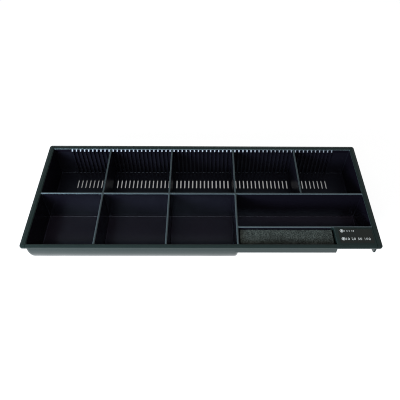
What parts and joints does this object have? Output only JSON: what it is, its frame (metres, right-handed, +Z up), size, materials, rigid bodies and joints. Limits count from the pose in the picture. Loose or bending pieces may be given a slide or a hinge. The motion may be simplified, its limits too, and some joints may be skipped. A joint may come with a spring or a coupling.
{
  "type": "coin tray",
  "caption": "Long black plastic coin tray with ribbed cells, lift-out dividers, scooped front cells and a finger sponge in the rim.",
  "frame": {"origin": "middle of the tray's base in plan, at the underside of the floor", "axes": "+X along the tray to the corner label's end, +Y to the back row of cells, +Z up out of the open top"},
  "size_m": [0.376, 0.151, 0.044],
  "materials": {
    "tray_plastic": "moulded black ABS, satin rim and glossy cells",
    "divider_plastic": "moulded black ABS",
    "sponge": "open-cell foam, coarse grain",
    "label_film": "matt printed film"
  },
  "bodies": {
    "tray": {"tray": "tray_plastic", "corner_label": "label_film"},
    "divider_1": {"divider_1": "divider_plastic"},
    "divider_2": {"divider_2": "divider_plastic"},
    "divider_3": {"divider_3": "divider_plastic"},
    "divider_4": {"divider_4": "divider_plastic"},
    "foam_pad": {"foam_pad": "sponge"}
  },
  "joints": [
    {"name": "divider_1_lift", "type": "slide", "parent": "tray", "child": "divider_1", "axis": [0, 0, 1], "range_m": [0, 0.05]},
    {"name": "divider_2_lift", "type": "slide", "parent": "tray", "child": "divider_2", "axis": [0, 0, 1], "range_m": [0, 0.05]},
    {"name": "divider_3_lift", "type": "slide", "parent": "tray", "child": "divider_3", "axis": [0, 0, 1], "range_m": [0, 0.05]},
    {"name": "divider_4_lift", "type": "slide", "parent": "tray", "child": "divider_4", "axis": [0, 0, 1], "range_m": [0, 0.05]},
    {"name": "foam_lift", "type": "slide", "parent": "tray", "child": "foam_pad", "axis": [0, 0, 1], "range_m": [0, 0.02]}
  ]
}
